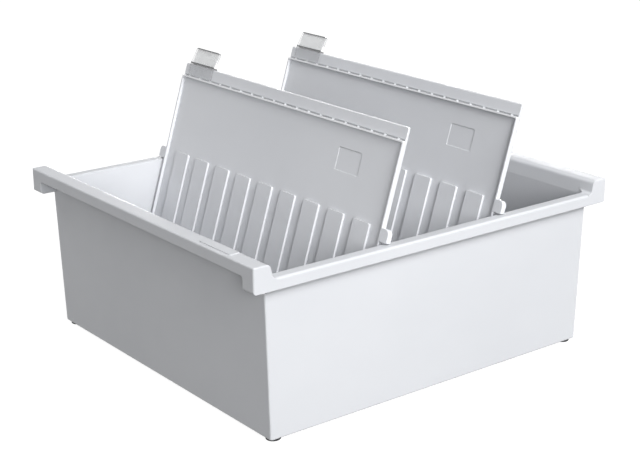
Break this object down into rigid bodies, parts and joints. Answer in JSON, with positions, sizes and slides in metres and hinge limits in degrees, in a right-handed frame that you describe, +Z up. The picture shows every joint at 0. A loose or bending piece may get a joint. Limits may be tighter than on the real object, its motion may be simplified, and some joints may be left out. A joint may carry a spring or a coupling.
{
  "type": "card index tray",
  "caption": "Open moulded tray for upright index cards, with grip rails front and rear, leaning support plates that stand in floor grooves, and clear index riders.",
  "frame": {"origin": "middle of the tray, in the plane of the undersides of the feet", "axes": "+X right across the tray along its side-to-side width, +Y to the rear along its length, from one grip rail to the other, +Z up; the plates lean towards +Y"},
  "size_m": [0.336, 0.365, 0.2358],
  "materials": {
    "tray_plastic": "light grey moulded polystyrene, fine satin",
    "plate_plastic": "light grey moulded polystyrene, fine satin",
    "foot_rubber": "dark grey rubber, matte",
    "clear_plastic": "clear moulded plastic, glossy",
    "label_paper": "blank white card, matte"
  },
  "bodies": {
    "tray": {"tray": "tray_plastic", "foot_front_left": "foot_rubber", "foot_front_right": "foot_rubber", "foot_rear_left": "foot_rubber", "foot_rear_right": "foot_rubber"},
    "front_plate": {"support_plate_front": "plate_plastic"},
    "rear_plate": {"support_plate_rear": "plate_plastic"},
    "front_rider": {"rider_front": "clear_plastic"},
    "rear_rider": {"rider_rear": "clear_plastic"},
    "front_label": {"label_front": "label_paper"},
    "rear_label": {"label_rear": "label_paper"}
  },
  "joints": [
    {"name": "front_plate_tilt", "type": "hinge", "parent": "tray", "child": "front_plate", "pos_m": [0, -0.09375, 0.0063], "axis": [1, 0, 0], "range_deg": [0, 34]},
    {"name": "rear_plate_tilt", "type": "hinge", "parent": "tray", "child": "rear_plate", "pos_m": [0, 0.02625, 0.0063], "axis": [1, 0, 0], "range_deg": [0, 28]},
    {"name": "front_rider_slide", "type": "slide", "parent": "front_plate", "child": "front_rider", "axis": [1, 0, 0], "range_m": [-0.007, 0.264]},
    {"name": "rear_rider_slide", "type": "slide", "parent": "rear_plate", "child": "rear_rider", "axis": [1, 0, 0], "range_m": [-0.007, 0.264]},
    {"name": "front_label_slide", "type": "slide", "parent": "front_rider", "child": "front_label", "axis": [1, 0, 0], "range_m": [-0.03, 0.03]},
    {"name": "rear_label_slide", "type": "slide", "parent": "rear_rider", "child": "rear_label", "axis": [1, 0, 0], "range_m": [-0.03, 0.03]}
  ]
}
